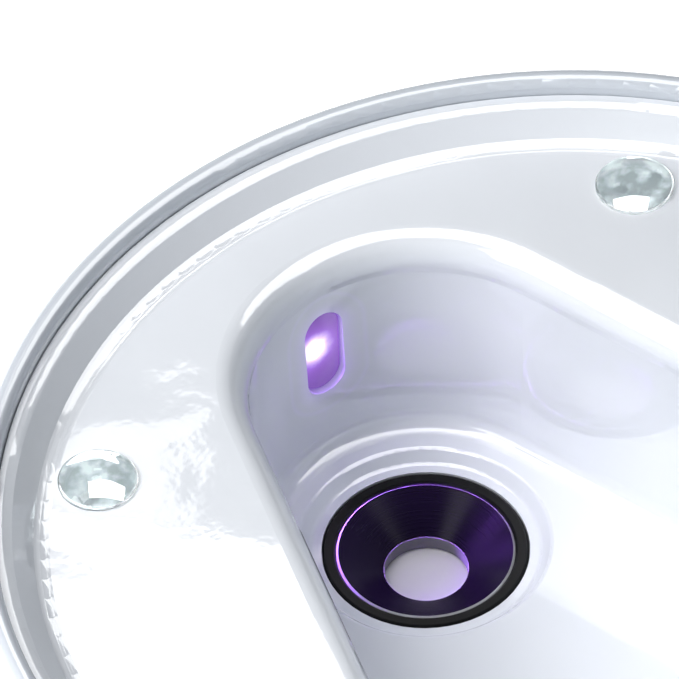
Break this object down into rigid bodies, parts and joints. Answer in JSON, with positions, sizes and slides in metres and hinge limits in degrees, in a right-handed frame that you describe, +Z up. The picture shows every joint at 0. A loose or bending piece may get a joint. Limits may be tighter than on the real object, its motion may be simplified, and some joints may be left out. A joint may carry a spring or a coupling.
{
  "type": "foot spa basin",
  "caption": "Round foot spa basin with a wedge-shaped foot well, an ultrasonic head in its floor, a light window, clear bumpers and a control panel.",
  "frame": {"origin": "on the floor under the middle of the round casing", "axes": "+Z up; the narrow end of the foot well points to +Y; the control panel looks to -Y"},
  "size_m": [0.4426, 0.4426, 0.1664],
  "materials": {
    "tub_plastic": "high-gloss white ABS",
    "casing_plastic": "gloss ABS, faintly blue white",
    "base_plastic": "fine matt texture",
    "seal_rubber": "moulded black rubber, slightly shiny",
    "foot_rubber": "moulded grey rubber",
    "screw_steel": "zinc-plated steel",
    "clear_bumper": "clear polyurethane, glossy",
    "clear_adhesive": "clear adhesive film",
    "black_anodised": "turned and black anodised, fine lathe marks",
    "white_ceramic": "fine matt white ceramic",
    "black_plastic": "moulded, fine matt",
    "grey_plastic": "moulded, fine matt",
    "lit_lens": "clear moulded lens, lit violet from behind",
    "lit_chip": "light-emitting chip, violet",
    "board_green": "solder-masked glass-fibre board",
    "heater_foil": "polyimide foil heater",
    "brown_plastic": "phenolic thermostat case",
    "coil_tape": "yellow winding tape",
    "capacitor_sleeve": "dark shrink sleeve",
    "connector_plastic": "white nylon",
    "sink_aluminium": "extruded aluminium",
    "panel_plastic": "gloss dark grey ABS",
    "button_plastic": "gloss white ABS",
    "knob_plastic": "satin white ABS",
    "shaft_steel": "turned steel",
    "sensor_case": "pressed steel case",
    "clear_pipe": "clear acrylic light pipes",
    "nut_nickel": "nickel-plated brass",
    "lead_white": "PVC insulation",
    "lead_black": "PVC insulation",
    "lead_red": "silicone insulation"
  },
  "bodies": {
    "basin": {"base_plate": "base_plastic", "base_screws": "screw_steel", "basin_tub": "tub_plastic", "board_screws": "screw_steel", "bumper_domes": "clear_bumper", "capacitors": "capacitor_sleeve", "ceramic_disc": "white_ceramic", "connectors": "connector_plastic", "control_board": "board_green", "control_panel": "panel_plastic", "control_screws": "screw_steel", "disc_retainer": "black_plastic", "disc_seal": "seal_rubber", "dome_pads": "clear_adhesive", "driver_board": "board_green", "foot_screws": "screw_steel", "head_cap": "black_plastic", "head_cone": "black_anodised", "head_gasket": "seal_rubber", "head_lead": "lead_white", "head_nut": "grey_plastic", "head_washer": "grey_plastic", "heat_sink": "sink_aluminium", "heater_lead": "lead_red", "heater_mat": "heater_foil", "inlet_jack": "black_plastic", "inlet_lead": "lead_black", "inlet_nut": "nut_nickel", "level_pipes": "clear_pipe", "light_board": "board_green", "light_emitters": "lit_chip", "light_holder": "grey_plastic", "light_lead": "lead_black", "light_lens": "lit_lens", "light_screws": "screw_steel", "light_seal": "seal_rubber", "outer_casing": "casing_plastic", "panel_lead": "lead_white", "panel_screws": "screw_steel", "push_switch": "black_plastic", "rim_gasket": "seal_rubber", "rubber_feet": "foot_rubber", "thermostat": "brown_plastic", "transformer": "coil_tape", "tub_screws": "screw_steel", "turn_sensor": "sensor_case"},
    "button": {"power_button": "button_plastic"},
    "knob": {"control_knob": "knob_plastic", "knob_shaft": "shaft_steel"}
  },
  "joints": [
    {"name": "power_press", "type": "slide", "parent": "basin", "child": "button", "axis": [0, 1, 0], "range_m": [0, 0.0016], "stiffness_N_per_m": 400},
    {"name": "knob_turn", "type": "hinge", "parent": "basin", "child": "knob", "pos_m": [0.027, -0.207, 0.095], "axis": [0, 1, 0], "range_deg": [0, 270]}
  ]
}
